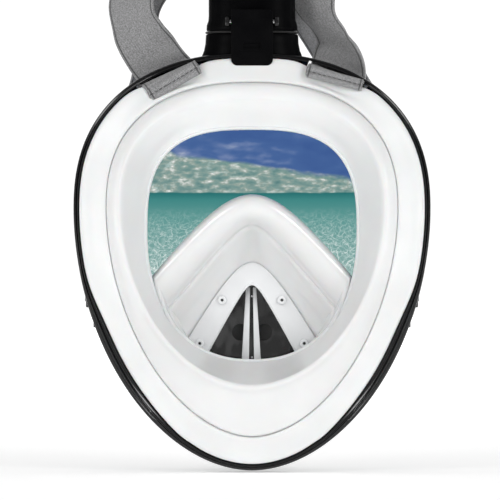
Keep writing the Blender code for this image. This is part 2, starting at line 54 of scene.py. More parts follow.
def newFinish(name, colour, roughness, metallic=0.0, **sockets):
    finish = bpy.data.materials.new(name)
    finish.use_nodes = True
    shader = finish.node_tree.nodes["Principled BSDF"]
    shader.inputs["Base Color"].default_value = (*colour, 1)
    shader.inputs["Roughness"].default_value = roughness
    shader.inputs["Metallic"].default_value = metallic
    for socket, value in sockets.items():
        shader.inputs[socket.replace("_", " ")].default_value = value
    return finish


def addNode(finish, kind, **values):
    node = finish.node_tree.nodes.new(kind)
    for key, value in values.items():
        if hasattr(node, key):
            setattr(node, key, value)
        else:
            node.inputs[key.replace("_", " ")].default_value = value
    return node


def join(finish, source, output, target, socket):
    finish.node_tree.links.new(source.outputs[output], target.inputs[socket])


def noiseOn(finish, scale, detail=3.0, stretch=(1, 1, 1)):
    place = addNode(finish, "ShaderNodeTexCoord")
    mapping = addNode(finish, "ShaderNodeMapping")
    mapping.inputs["Scale"].default_value = stretch
    noise = addNode(finish, "ShaderNodeTexNoise", Scale=scale, Detail=detail)
    join(finish, place, "Object", mapping, "Vector")
    join(finish, mapping, "Vector", noise, "Vector")
    return noise


def ramp(finish, source, output, stops):
    node = addNode(finish, "ShaderNodeValToRGB")
    elements = node.color_ramp.elements
    while len(elements) < len(stops):
        elements.new(0.5)
    for element, (place, colour) in zip(elements, stops):
        element.position = place
        element.color = (*colour, 1) if len(colour) == 3 else colour
    join(finish, source, output, node, "Fac")
    return node


def shaderOf(finish):
    return finish.node_tree.nodes["Principled BSDF"]


def addBump(finish, source, output, strength, distance):
    bump = addNode(finish, "ShaderNodeBump", Strength=strength, Distance=distance)
    join(finish, source, output, bump, "Height")
    join(finish, bump, "Normal", shaderOf(finish), "Normal")


def mottled(finish, scale, dark, light, roughLow, roughHigh, grain=2200.0, bump=0.05):
    tone = noiseOn(finish, scale)
    join(finish, ramp(finish, tone, "Fac", [(0.35, dark), (0.65, light)]), "Color", shaderOf(finish), "Base Color")
    fine = noiseOn(finish, grain, 4.0)
    rough = addNode(finish, "ShaderNodeMapRange")
    rough.inputs["To Min"].default_value = roughLow
    rough.inputs["To Max"].default_value = roughHigh
    join(finish, fine, "Fac", rough, "Value")
    join(finish, rough, "Result", shaderOf(finish), "Roughness")
    addBump(finish, fine, "Fac", bump, 0.0002)
    return finish


def grey(value):
    return (value, value, value)


# a finish of one kind of material: its scale, two tones, roughness range, grain and bump in mottle
def plainFinish(name, colour, roughness, mottle, **sockets):
    return mottled(newFinish(name, colour, roughness, **sockets), *mottle)


silicone = plainFinish("milkySilicone", grey(0.835), 0.3, (30, grey(0.805), grey(0.845), 0.27, 0.38), IOR=1.42,
                       Subsurface_Weight=0.12, Subsurface_Scale=0.004, Coat_Weight=0.12, Coat_Roughness=0.2)
cupSilicone = plainFinish("glossySilicone", grey(0.81), 0.2, (26, grey(0.785), grey(0.825), 0.2, 0.3, 2200, 0.02),
                          IOR=1.42, Subsurface_Weight=0.12, Subsurface_Scale=0.004, Coat_Weight=0.6,
                          Coat_Roughness=0.04)
black = plainFinish("glossBlackShell", (0.006, 0.006, 0.0065), 0.12,
                    (60, (0.003, 0.003, 0.0035), (0.006, 0.006, 0.0065), 0.1, 0.18, 900, 0.012), IOR=1.42,
                    Coat_Weight=0.15, Coat_Roughness=0.03)
satinBlack = plainFinish("satinBlackShell", (0.003, 0.003, 0.0035), 0.34,
                         (60, (0.002, 0.002, 0.0024), (0.004, 0.004, 0.0044), 0.24, 0.34, 900, 0.02), IOR=1.12,
                         Specular_IOR_Level=0.2)
white = plainFinish("whiteAcetal", (0.84, 0.85, 0.86), 0.16,
                    (40, (0.81, 0.82, 0.83), (0.86, 0.87, 0.88), 0.13, 0.22, 1500, 0.02), IOR=1.49,
                    Coat_Weight=0.4, Coat_Roughness=0.05)
rubber = plainFinish("softBlackRubber", grey(0.02), 0.55, (90, grey(0.016), grey(0.03), 0.45, 0.65, 1800, 0.1))
orange = plainFinish("signalOrange", (0.85, 0.19, 0.02), 0.3,
                     (50, (0.80, 0.16, 0.015), (0.88, 0.22, 0.03), 0.25, 0.38, 1400, 0.05), Coat_Weight=0.3,
                     Coat_Roughness=0.1)
floatShell = plainFinish("floatShell", grey(0.7), 0.45,
                         (80, (0.64, 0.64, 0.65), (0.74, 0.74, 0.75), 0.4, 0.55, 1600, 0.08))
steel = plainFinish("turnedSteel", (0.62, 0.62, 0.63), 0.25,
                    (300, (0.55, 0.55, 0.56), (0.68, 0.68, 0.69), 0.18, 0.34, 3000, 0.04), Metallic=1.0)
thread = plainFinish("seamThread", grey(0.1), 0.7, (900, grey(0.05), grey(0.13), 0.6, 0.8, 4000, 0.3))


# colours of the painted sea view that the lens carries: painted sky, spray and water, and painted caustic glints
paintedSeaView = {
    "waterLevel": 0.0098, "skyLevel": 0.0255, "skyLean": 0.155, "low": -0.048,
    "water": [(0.0, (0.30, 0.40, 0.38)), (0.35, (0.20, 0.36, 0.34)), (0.75, (0.11, 0.30, 0.28)),
              (0.93, (0.05, 0.23, 0.22)), (1.0, (0.018, 0.15, 0.15))],
    "spray": [(0.30, (0.09, 0.20, 0.20)), (0.45, (0.18, 0.30, 0.28)), (0.56, (0.29, 0.36, 0.32)),
              (0.70, (0.85, 0.86, 0.84))],
    "sky": [(0.3, (0.045, 0.10, 0.28)), (0.56, (0.06, 0.125, 0.31)), (0.68, (0.16, 0.22, 0.40)),
            (0.78, (0.42, 0.46, 0.55))],
    "paintedGlint": [(0.0, grey(1)), (0.035, grey(0.6)), (0.09, grey(0.12)), (0.2, grey(0))],
}


# the lens carries a painted view of sky over spray over clear water, with painted caustic glints in the water, set
# by height on the lens
def makeLens():
    finish = newFinish("paintedSeaViewLens", (0.3, 0.5, 0.5), 0.02, IOR=1.06, Transmission_Weight=1.0)
    place = addNode(finish, "ShaderNodeTexCoord")
    split = addNode(finish, "ShaderNodeSeparateXYZ")
    join(finish, place, "Object", split, "Vector")

    def above(level, lean, sway, blur, noise):
        height = addNode(finish, "ShaderNodeMath", operation="MULTIPLY_ADD")
        height.inputs[1].default_value = lean
        join(finish, split, "X", height, 0)
        join(finish, split, "Z", height, 2)
        wave = addNode(finish, "ShaderNodeMath", operation="MULTIPLY_ADD")
        wave.inputs[1].default_value = sway
        join(finish, noise, "Fac", wave, 0)
        join(finish, height, "Value", wave, 2)
        edge = addNode(finish, "ShaderNodeMapRange")
        edge.inputs["From Min"].default_value = level + sway / 2 - blur
        edge.inputs["From Max"].default_value = level + sway / 2 + blur
        join(finish, wave, "Value", edge, "Value")
        return edge

    slow = noiseOn(finish, 55, 6.0, (1, 1, 2.6))
    fine = noiseOn(finish, 190, 9.0, (1, 1, 2.2))
    span = addNode(finish, "ShaderNodeMapRange")
    span.inputs["From Min"].default_value = paintedSeaView["low"]
    span.inputs["From Max"].default_value = paintedSeaView["waterLevel"]
    join(finish, split, "Z", span, "Value")
    water = ramp(finish, span, "Result", paintedSeaView["water"])
    mapping = addNode(finish, "ShaderNodeMapping")
    mapping.inputs["Scale"].default_value = (1, 1, 2.1)
    bent = addNode(finish, "ShaderNodeMixRGB", blend_type="ADD")
    bent.inputs["Fac"].default_value = 0.012
    swirl = addNode(finish, "ShaderNodeTexNoise", Scale=130.0, Detail=6.0)
    join(finish, place, "Object", swirl, "Vector")
    join(finish, place, "Object", bent, "Color1")
    join(finish, swirl, "Color", bent, "Color2")
    join(finish, bent, "Color", mapping, "Vector")
    # painted caustic glints: a net of bright lines over the water, fading towards the top
    net = addNode(finish, "ShaderNodeTexVoronoi", Scale=200.0)
    net.feature = "DISTANCE_TO_EDGE"
    join(finish, mapping, "Vector", net, "Vector")
    paintedGlint = ramp(finish, net, "Distance", paintedSeaView["paintedGlint"])
    depth = addNode(finish, "ShaderNodeMapRange")
    depth.inputs["From Min"].default_value = 0.002
    depth.inputs["From Max"].default_value = -0.030
    depth.inputs["To Max"].default_value = 0.95
    join(finish, split, "Z", depth, "Value")
    share = addNode(finish, "ShaderNodeMath", operation="MULTIPLY")
    join(finish, paintedGlint, "Color", share, 0)
    join(finish, depth, "Result", share, 1)
    # mixes the painted glint colour into the water
    lit = addNode(finish, "ShaderNodeMixRGB")
    lit.inputs["Color2"].default_value = (0.85, 0.90, 0.88, 1)
    join(finish, share, "Value", lit, "Fac")
    join(finish, water, "Color", lit, "Color1")
    spray = ramp(finish, fine, "Fac", paintedSeaView["spray"])
    sky = ramp(finish, slow, "Fac", paintedSeaView["sky"])
    upper = addNode(finish, "ShaderNodeMixRGB")
    join(finish, above(paintedSeaView["skyLevel"], paintedSeaView["skyLean"], 0.009, 0.0012, slow), "Result", upper, "Fac")
    join(finish, spray, "Color", upper, "Color1")
    join(finish, sky, "Color", upper, "Color2")
    whole = addNode(finish, "ShaderNodeMixRGB")
    join(finish, above(paintedSeaView["waterLevel"], 0.0, 0.0012, 0.0003, slow), "Result", whole, "Fac")
    join(finish, lit, "Color", whole, "Color1")
    join(finish, upper, "Color", whole, "Color2")
    join(finish, whole, "Color", shaderOf(finish), "Base Color")
    return finish


webLook = {"ribs": 34.0, "picks": 30.0, "pitch": 0.0011, "fuzz": 0.22,
           "tones": [(0.25, (0.12, 0.12, 0.122)), (0.75, (0.40, 0.40, 0.405))]}


# crossed waves with fuzz over them; turns gives each coordinate and its radians a unit
def weaveOn(finish, source, turns):
    place = addNode(finish, "ShaderNodeTexCoord")
    split = addNode(finish, "ShaderNodeSeparateXYZ")
    join(finish, place, source, split, "Vector")
    weave = addNode(finish, "ShaderNodeMath", operation="MULTIPLY")
    for i, (socket, radians) in enumerate(turns):
        turn = addNode(finish, "ShaderNodeMath", operation="MULTIPLY")
        turn.inputs[1].default_value = radians
        join(finish, split, socket, turn, 0)
        wave = addNode(finish, "ShaderNodeMath", operation="SINE")
        join(finish, turn, "Value", wave, 0)
        join(finish, wave, "Value", weave, i)
    mixed = addNode(finish, "ShaderNodeMath", operation="MULTIPLY_ADD")
    mixed.inputs[1].default_value = webLook["fuzz"]
    join(finish, weave, "Value", mixed, 0)
    join(finish, noiseOn(finish, 1500, 3.0), "Fac", mixed, 2)
    addBump(finish, mixed, "Value", 0.5, 0.0004)
    return split, ramp(finish, mixed, "Value", webLook["tones"])


# the weave runs on the strap's own UV map: u across its width, v along it in widths
def makeWebbing():
    finish = newFinish("greyWebbing", (0.25, 0.25, 0.26), 0.8, Sheen_Weight=0.25, Sheen_Roughness=0.5)
    split, tone = weaveOn(finish, "UV", (("X", webLook["ribs"] * fullTurn), ("Y", webLook["picks"] * fullTurn)))
    middle = addNode(finish, "ShaderNodeMath", operation="SUBTRACT")
    middle.inputs[1].default_value = 0.5
    join(finish, split, "X", middle, 0)
    out = addNode(finish, "ShaderNodeMath", operation="ABSOLUTE")
    join(finish, middle, "Value", out, 0)
    band = ramp(finish, out, "Value", [(0.0, grey(1)), (0.44, grey(1)), (0.452, grey(0.25)),
                                       (0.466, grey(0.25)), (0.475, grey(1))])
    shade = addNode(finish, "ShaderNodeMix", data_type="RGBA", blend_type="MULTIPLY")
    shade.inputs["Factor"].default_value = 1.0
    join(finish, tone, "Color", shade, 6)
    join(finish, band, "Color", shade, 7)
    finish.node_tree.links.new(shade.outputs[2], shaderOf(finish).inputs["Base Color"])
    return finish


def makeYokeCloth():
    finish = newFinish("yokeCloth", (0.2, 0.2, 0.21), 0.85, Sheen_Weight=0.25, Sheen_Roughness=0.5)
    radians = fullTurn / webLook["pitch"]
    tone = weaveOn(finish, "Object", (("X", radians), ("Z", radians)))[1]
    join(finish, tone, "Color", shaderOf(finish), "Base Color")
    return finish


def makeRippledBlack():
    finish = newFinish("rippledBlack", (0.006, 0.006, 0.0065), 0.09, Coat_Weight=0.5, Coat_Roughness=0.02)
    addBump(finish, noiseOn(finish, 70, 2.0, (1, 1, 0.35)), "Fac", 0.5, 0.004)
    return finish


rippledBlack, lensWithPaintedSea, webbing, yokeCloth = makeRippledBlack(), makeLens(), makeWebbing(), makeYokeCloth()
print("finishes made")


# shaping helpers


def makePiece(name, bm, finish, body="mask", stands=(), wall=0.0, bevel=0.0, levels=0, sharp=35.0):
    mesh = bpy.data.meshes.new(name)
    bm.to_mesh(mesh)
    bm.free()
    mesh.shade_smooth()
    mesh.set_sharp_from_angle(angle=math.radians(sharp))
    mesh.materials.append(finish)
    piece = bpy.data.objects.new(name, mesh)
    bpy.context.scene.collection.objects.link(piece)
    if wall:
        shell = piece.modifiers.new("wall", "SOLIDIFY")
        shell.thickness = wall * mm
        shell.offset = 0.0
    if bevel:
        edge = piece.modifiers.new("edge", "BEVEL")
        edge.width = bevel * mm
        edge.segments = 3
        edge.limit_method = "ANGLE"
        edge.angle_limit = math.radians(35)
    if levels:
        smooth = piece.modifiers.new("smooth", "SUBSURF")
        smooth.levels = levels
        smooth.render_levels = levels
    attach(piece, body)
    if stands:
        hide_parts(*stands)
    return piece


# applies the piece's modifiers to its mesh
def settle(piece):
    made = bpy.data.meshes.new_from_object(piece.evaluated_get(bpy.context.evaluated_depsgraph_get()))
    piece.modifiers.clear()
    old, piece.data = piece.data, made
    made.name = piece.name
    bpy.data.meshes.remove(old)


# cuts closed shapes out of a piece and applies the cuts
def carve(piece, cutters):
    tools = []
    for bm in cutters:
        bmesh.ops.recalc_face_normals(bm, faces=bm.faces)
        mesh = bpy.data.meshes.new("cutter")
        bm.to_mesh(mesh)
        bm.free()
        tool = bpy.data.objects.new("cutter", mesh)
        bpy.context.scene.collection.objects.link(tool)
        cut = piece.modifiers.new("cut", "BOOLEAN")
        cut.operation = "DIFFERENCE"
        cut.solver = "EXACT"
        cut.object = tool
        tools.append(tool)
    settle(piece)
    for tool in tools:
        bpy.data.objects.remove(tool)
    piece.data.set_sharp_from_angle(angle=math.radians(35))


def gridSurface(uSteps, vSteps, place, wrapU=False, wrapV=False, uvScale=(1, 1)):
    bm = bmesh.new()
    layer = bm.loops.layers.uv.new("UVMap")
    bmesh.ops.create_grid(bm, x_segments=uSteps, y_segments=vSteps, size=0.5, calc_uvs=True)
    for face in bm.faces:
        for loop in face.loops:
            loop[layer].uv = ((loop.vert.co.x + 0.5) * uvScale[0], (loop.vert.co.y + 0.5) * uvScale[1])
    for vert in bm.verts:
        vert.co = place(vert.co.x + 0.5, vert.co.y + 0.5)
    if wrapU or wrapV:
        bmesh.ops.remove_doubles(bm, verts=bm.verts, dist=2e-6)
    bmesh.ops.recalc_face_normals(bm, faces=bm.faces)
    return bm


def capEnds(bm):
    bmesh.ops.holes_fill(bm, edges=[e for e in bm.edges if e.is_boundary], sides=0)
    bmesh.ops.recalc_face_normals(bm, faces=bm.faces)
    return bm


# a point of the smooth curve through rows, at v from 0 to 1
def alongRows(rows, v, closed=False):
    spans = len(rows) if closed else len(rows) - 1
    spot = min(v, 0.999999) * spans
    i, t = int(spot), spot - int(spot)
    pick = (lambda k: rows[k % len(rows)]) if closed else (lambda k: rows[min(max(k, 0), len(rows) - 1)])
    a, b, c, d = pick(i - 1), pick(i), pick(i + 1), pick(i + 2)
    return 0.5 * (2 * b + (c - a) * t + (2 * a - 5 * b + 4 * c - d) * t * t + (3 * b - a - 3 * c + d) * t ** 3)


# a closed surface through the rows of points that rowsAt gives for each turn
def lofted(around, across, rowsAt):
    cache = {}

    def place(u, v):
        key = round(u * around) % around
        if key not in cache:
            cache[key] = rowsAt(fullTurn * key / around)
        return alongRows(cache[key], v)
    return gridSurface(around, across, place, wrapU=True)


# outlines at their depths, joined in order
def stacked(rows, steps, outline, closed=True):
    count = len(rows) if closed else len(rows) - 1

    def place(u, v):
        shape, y = rows[round(v * count) % len(rows)]
        x, z = outline(shape, fullTurn * u)
        return Vector((x, y, z)) * mm
    return gridSurface(steps, count, place, wrapU=True, wrapV=closed)


# a turned shape: its profile of radius and height is closed at both poles
def turned(profile, middle, direction, steps=40):
    bm = bmesh.new()
    verts = [bm.verts.new((r * mm, 0, h * mm)) for r, h in profile]
    edges = [bm.edges.new(pair) for pair in zip(verts, verts[1:])]
    bmesh.ops.spin(bm, geom=verts + edges, cent=(0, 0, 0), axis=(0, 0, 1), angle=fullTurn, steps=steps,
                   use_merge=True)
    bmesh.ops.remove_doubles(bm, verts=bm.verts, dist=1e-6)
    bmesh.ops.recalc_face_normals(bm, faces=bm.faces)
    spin = Vector(direction).to_track_quat("Z", "Y").to_matrix()
    bmesh.ops.rotate(bm, cent=(0, 0, 0), matrix=spin, verts=bm.verts)
    bmesh.ops.translate(bm, vec=Vector(middle) * mm, verts=bm.verts)
    return bm


def boxShape(low, high, round=0.0, turn=None, about=(0, 0, 0)):
    bm = bmesh.new()
    bmesh.ops.create_cube(bm, size=1.0)
    bmesh.ops.scale(bm, vec=[h - l for l, h in zip(low, high)], verts=bm.verts)
    bmesh.ops.translate(bm, vec=[(h + l) / 2 for l, h in zip(low, high)], verts=bm.verts)
    if round:
        bmesh.ops.bevel(bm, geom=bm.edges, offset=round, offset_type="OFFSET", affect="EDGES", segments=3,
                        profile=0.5, material=-1)
    if turn is not None:
        bmesh.ops.rotate(bm, cent=about, matrix=turn, verts=bm.verts)
    bmesh.ops.scale(bm, vec=(mm, mm, mm), verts=bm.verts)
    return bm


def rodShape(first, last, radius, sides=32):
    first, last = Vector(first), Vector(last)
    bm = bmesh.new()
    bmesh.ops.create_cone(bm, cap_ends=True, segments=sides, radius1=radius * mm, radius2=radius * mm,
                          depth=(last - first).length * mm)
    bmesh.ops.rotate(bm, cent=(0, 0, 0), matrix=(last - first).to_track_quat("Z", "Y").to_matrix(), verts=bm.verts)
    bmesh.ops.translate(bm, vec=(first + last) / 2 * mm, verts=bm.verts)
    return bm


# the face form that frame, lens, skirt and cup share, in millimetres
face = {"half": 97.2, "up": 86.4, "down": 143.6, "browPower": 2.34, "chinPower": 1.92,
        "sweep": 30.0, "flatHalf": 36.0, "splitLevel": -34.0}


def sweepBack(x):
    over = max(0.0, abs(x) - face["flatHalf"])
    return -face["sweep"] * (over / (face["half"] - face["flatHalf"])) ** 2


def eggPoint(egg, turn):
    half, mid, up, down, upPower, downPower = egg
    c, s = math.cos(turn), math.sin(turn)
    power, tall = (upPower, up) if s >= 0 else (downPower, down)
    x = half * math.copysign(abs(c) ** (2 / power), c)
    z = mid + tall * math.copysign(abs(s) ** (2 / power), s)
    return x, z


# a point of an egg outline on the swept face, with depths at the brow, sides and chin
def facePoint(egg, depths, turn):
    x, z = eggPoint(egg, turn)
    s = math.sin(turn)
    y = depths[1] + ((depths[0] if s >= 0 else depths[2]) - depths[1]) * s * s
    return Vector((x, y + sweepBack(x), z)) * mm


def rimEgg(inset):
    half, up, down = (face[side] - inset for side in ("half", "up", "down"))
    return half, 0, up, down, face["browPower"], face["chinPower"]


def rimPoint(inset, y, turn):
    return facePoint(rimEgg(inset), (y, y, y), turn)


def rimTurn(level):
    if level >= 0:
        return math.asin((level / face["up"]) ** (face["browPower"] / 2))
    return -math.asin((-level / face["down"]) ** (face["chinPower"] / 2))


# frame: a grooved rim with a front lip, wider along the jaw
rim = {"wall": 2.9, "jawWall": 3.4, "jawLevel": -90.0, "jawSpread": 40.0, "chinWall": 0.5, "back": -7.0,
       "front": 7.0, "lip": 3.0, "lipWidth": 14.0, "steps": 110}


def wallAt(turn):
    level = eggPoint(rimEgg(0), turn)[1]
    jaw = math.exp(-((level - rim["jawLevel"]) / rim["jawSpread"]) ** 4)
    return rim["wall"] + rim["jawWall"] * jaw + (rim["chinWall"] if level < -130 else 0)


def rimSection(wall):
    back, front, lip, width = rim["back"], rim["front"], rim["lip"], rim["lipWidth"]
    return [(0.7, front), (0.2, front - 0.4), (0.0, front - 1.1), (0.0, back + 2.2), (0.15, back + 1.0),
            (0.6, back + 0.25), (1.2, back), (wall * 0.42, back + 0.05), (wall * 0.49, back + 0.8),
            (wall * 0.57, back + 0.8), (wall * 0.64, back + 0.05), (wall - 0.7, back), (wall - 0.2, back + 0.3),
            (wall, back + 1.0), (wall, lip - 0.5), (wall + 0.5, lip), (width - 0.5, lip), (width, lip + 0.5),
            (width, front - 0.6), (width - 0.6, front)]


def rimArc(first, last):
    count = len(rimSection(rim["wall"]))

    def place(u, v):
        turn = first + (last - first) * u
        inset, y = rimSection(wallAt(turn))[round(v * count) % count]
        return rimPoint(inset, y, turn)
    return capEnds(gridSurface(rim["steps"], count, place, wrapV=True))


strapSlot = {"x": 46.8, "long": 35.0, "wide": 3.6, "lean": 24.0}


def makeFrame():
    split = rimTurn(face["splitLevel"])
    crack = 0.02 / face["half"]
    upper = makePiece("upperRim", rimArc(split, math.pi - split), black, stands=["upper_frame"], sharp=50)
    cutters = []
    for side in (1, -1):
        middle = Vector((side * strapSlot["x"], 5, 73.3))
        lean = Matrix.Rotation(side * math.radians(strapSlot["lean"]), 3, "Y")
        half = Vector((strapSlot["long"] / 2, 18, strapSlot["wide"] / 2))
        cutters.append(boxShape(middle - half, middle + half, 0, lean, middle))
    carve(upper, cutters)
    makePiece("lowerRim", rimArc(-math.pi - split + crack, split - crack), black, stands=["lower_frame"], sharp=50)
    rows = [(29.4, 15.6, 80.2), (28.2, 15.4, 84), (26.6, 14.8, 88), (25.8, 14.4, 92), (25.6, 14.3, 96.4),
            (25.2, 13.9, 97.0), (24.1, 12.8, 97.0), (23.6, 12.5, 96.4), (23.6, 12.5, 82)]
    makePiece("snorkelCollar", ovalShell(rows, 10.0, closeEnds=True), satinBlack, sharp=50)
    print("frame made")


def ovalPoint(half, deep, z, yMiddle, turn, power=2.4):
    x, y = eggPoint((half, 0, deep, deep, power, power), turn)
    return Vector((x, yMiddle + y, z)) * mm


# ovals of half width, depth and level, joined in order; yMiddle is a number or a function of level
def ovalShell(rows, yMiddle, steps=96, closed=False, closeEnds=False):
    count = len(rows) if closed else len(rows) - 1

    def place(u, v):
        half, deep, z = rows[round(v * count) % len(rows)]
        middle = yMiddle(z) if callable(yMiddle) else yMiddle
        return ovalPoint(half, deep, z, middle, fullTurn * u)
    bm = gridSurface(steps, count, place, wrapU=True, wrapV=closed)
    return capEnds(bm) if closeEnds else bm


# lens: a swept dome with a flat seat under the frame's lip
lensForm = {"inset": 8.6, "middle": -22.0, "seatY": 1.02, "domeY": 40.0, "seatShare": 0.945, "wall": 2.4}


def lensPoint(u, v):
    turn, reach = fullTurn * u, 1 - v
    x, z = eggPoint(rimEgg(lensForm["inset"]), turn)
    x, z = x * reach, lensForm["middle"] * (1 - reach) + z * reach
    rise = max(0.0, 1 - (reach / lensForm["seatShare"]) ** 3.0)
    y = lensForm["seatY"] + (lensForm["domeY"] - lensForm["seatY"]) * rise
    return Vector((x, y + sweepBack(x), z)) * mm


def makeLensDome():
    bm = gridSurface(120, 44, lensPoint, wrapU=True)
    dome = makePiece("lensDome", bm, lensWithPaintedSea, stands=["lens"], wall=lensForm["wall"], sharp=60)
    hole = (housing["half"] + 0.5, housing["mid"], housing["up"] + 0.5, housing["down"] + 0.5, 2.4, 2.4)
    carve(dome, [eggPrism(hole, 26, 70)])
    print("lens made")


def eggPrism(egg, back, front, steps=72):
    def place(u, v):
        x, z = eggPoint(egg, fullTurn * u)
        return Vector((x, back + (front - back) * v, z)) * mm
    return capEnds(gridSurface(steps, 1, place, wrapU=True))


# skirt: flange, groove, rolled seal and the wall that runs in to the face opening
skirt = {"wall": 1.6, "around": 144, "across": 72, "shoulderDip": 3.6, "shoulderX": 47.0, "shoulderSpread": 17.0}


def flangeInset(turn):
    x, z = eggPoint(rimEgg(0), turn)
    away = (abs(x) - skirt["shoulderX"]) / skirt["shoulderSpread"]
    return wallAt(turn) + 0.9 + (skirt["shoulderDip"] * math.exp(-away ** 4) if z > 0 else 0)


def skirtRows(turn):
    outer = flangeInset(turn)
    rows = [rimPoint(9.5, -2.4, turn), rimPoint(max(8.8, outer), -5.0, turn), rimPoint(outer, -7.6, turn),
            rimPoint(outer + 1.6, -9.2, turn), rimPoint(outer + 6, -10.8, turn)]
    shapes = [  # an egg, then depth at the brow, the sides and the chin
        ((81.4, 0, 71.6, 126.8, 2.4, 1.84), (-12.6, -12.6, -13.8)),
        ((80.5, 0, 70.7, 125.7, 2.4, 1.84), (-12.3, -12.3, -13.5)),
        ((79.9, 0, 70.0, 124.9, 2.4, 1.84), (-9.2, -9.0, -10.2)),
        ((79.2, 0, 69.2, 124.1, 2.4, 1.84), (-9.6, -9.4, -10.6)),
        ((78.7, 0, 68.6, 123.5, 2.4, 1.84), (-13.6, -13.8, -14.8)),
        ((77.6, 0, 67.4, 121.8, 2.4, 1.84), (-15.4, -16.0, -16.8)),
        ((75.2, 0, 65.0, 112.0, 2.4, 1.9), (-16.0, -19.6, -21.5)),
        ((73.4, 0, 62.6, 101.5, 2.42, 1.94), (-15.7, -21.4, -27.2)),
        ((72.4, 0, 61.4, 98.2, 2.45, 1.94), (-15.3, -21.7, -31.0)),
        ((71.8, 0, 60.8, 97.0, 2.45, 1.94), (-15.1, -21.5, -31.8)),
        ((71.2, -0.4, 60.2, 95.8, 2.48, 1.95), (-14.9, -21.2, -31.2)),
        ((70.2, -1, 59.6, 94.4, 2.5, 1.98), (-14.6, -20.4, -28.0)),
        ((66.0, -4, 58.0, 88.0, 2.5, 2.05), (-12.6, -16.2, -15.0)),
        ((61.6, -8, 57.6, 80.4, 2.75, 2.15), (-10.4, -11.8, -3.0)),
        ((59.2, -11.6, 57.2, 72.8, 2.9, 2.25), (-8.8, -9.8, 7.4)),
        ((58.6, -12, 57.0, 71.8, 2.9, 2.25), (-9.3, -10.3, 7.4)),
        ((58.0, -12.2, 56.6, 71.0, 2.9, 2.25), (-8.2, -9.2, 8.4)),
    ]
    return rows + [facePoint(egg, depths, turn) for egg, depths in shapes]


def makeSkirt():
    bm = lofted(skirt["around"], skirt["across"], skirtRows)
    makePiece("faceSkirt", bm, silicone, stands=["face_skirt"], wall=skirt["wall"], levels=1, sharp=80)
    print("skirt made")


# nose cup: a rolled bridge over the nose, shaped like an A, and a bowl behind it
cup = {"wall": 1.9, "around": 160, "across": 56, "valve": 8.0, "pocket": 1.5}


# an A shape is half width, top level, how broad its top is and how steep its legs are;
# below the legs' ends it closes as an egg that reaches down by a depth and a power
def aPoint(shape, turn):
    half, top, broad, steep, down, power = shape
    c, s = math.cos(turn), math.sin(turn)
    foot = top + broad - math.hypot(broad, steep * half)
    if s >= 0:
        x = half * math.copysign(abs(c) ** 1.5, c)
        return x, top + broad - math.hypot(broad, steep * x)
    x = half * math.copysign(abs(c) ** (2 / power), c)
    return x, foot - down * abs(s) ** (2 / power)


def grownA(shape, by):
    return (shape[0] + by, shape[1] + by, *shape[2:4], shape[4] + by, shape[5])


cupHole = (26.0, -41.8, 8.0, 1.86, 4.5, 2.0)
cupForms = [  # A shape, then depth at the bridge, the sides and the chin
    ((53.0, 5.6, 38, 1.35, 61, 1.5), (-3, 1.5, 18.6)),
    ((54.4, 7.3, 38, 1.35, 61, 1.5), (-7.5, -2.5, 18.2)),
    ((54.3, 7.2, 38, 1.35, 60, 1.5), (-10.8, -4.8, 18.3)),
    ((53.4, 5.6, 37, 1.34, 58, 1.55), (-14.0, -7.0, 18.4)),
    ((52.0, 2.6, 33, 1.32, 54, 1.6), (-15.4, -8.0, 18.8)),
    ((50.2, -1.0, 26, 1.29, 49, 1.7), (-14.4, -7.0, 19.0)),
    ((48.4, -4.6, 18, 1.25, 44, 1.8), (-10.8, -3.6, 19.1)),
    ((47.2, -6.8, 13, 1.22, 40, 1.85), (-6.0, 0.6, 19.1)),
    ((46.2, -8.2, 11, 1.20, 37, 1.9), (-1.0, 4.6, 19.2)),
    ((45.0, -10.4, 10, 1.20, 33, 1.9), (1.0, 5.0, 19.3)),
    ((43.0, -14.6, 11, 1.23, 28, 1.9), (6.0, 9.4, 19.4)),
    ((40.4, -21.0, 14, 1.32, 23, 1.8), (12.8, 14.8, 19.6)),
    ((37.4, -27.4, 20, 1.55, 17, 1.7), (18.0, 18.4, 19.9)),
    ((35.6, -30.0, 24, 1.75, 14.6, 1.7), (19.6, 19.7, 20.0)),
    ((31.0, -35.0, 16, 1.80, 10, 1.8), (20.0, 20.0, 20.0)),
    (cupHole, (20.0, 20.0, 20.0)),
]


def cupRows(turn):
    rows = []
    for shape, (top, side, chin) in cupForms:
        x, z = aPoint(shape, turn)
        s = math.sin(turn)
        y = side + ((top if s >= 0 else chin) - side) * s * s
        rows.append(Vector((x, y + sweepBack(x), z)) * mm)
    return rows


def makeNoseCup():
    bm = lofted(cup["around"], cup["across"], cupRows)
    makePiece("noseCup", bm, cupSilicone, stands=["nose_cup"], wall=cup["wall"], sharp=80, levels=1)
    # sleeves on the cup's back that hold the inhale valves
    for side in ("left", "right"):
        middle, axis = valvePlace(side)
        r = cup["valve"]
        sleeve = [(r + 0.3, 2.0), (r + 0.3, -cup["pocket"]), (r + 1.9, -cup["pocket"]), (r + 1.9, 1.6),
                  (r + 1.5, 2.0), (r + 0.3, 2.0)]
        makePiece("valvePocket" + side.title(), turned(sleeve, middle, axis), silicone, sharp=50)
    print("nose cup made")


def valvePlace(side):
    low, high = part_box("inhale_valve_seat_" + side)
    joint = next(j for j in frame["record"]["behaviour"]["joints"] if j["name"] == "inhale_%s_open" % side)
    return (Vector(low) + Vector(high)) / 2 / mm, -Vector(joint["axis"])


# retainer, its screws and the post in its opening
retainer = {"near": 16.2, "far": 18.7, "outer": (36.0, -29.0, 24.0, 1.75, 13.0, 1.7), "inner": cupHole}
cupScrews = [(-16.6, -50), (16.6, -50), (-29, -74), (29, -74)]


def grown(egg, by):
    return egg[0] + by, egg[1], egg[2] + by, egg[3] + by, egg[4], egg[5]


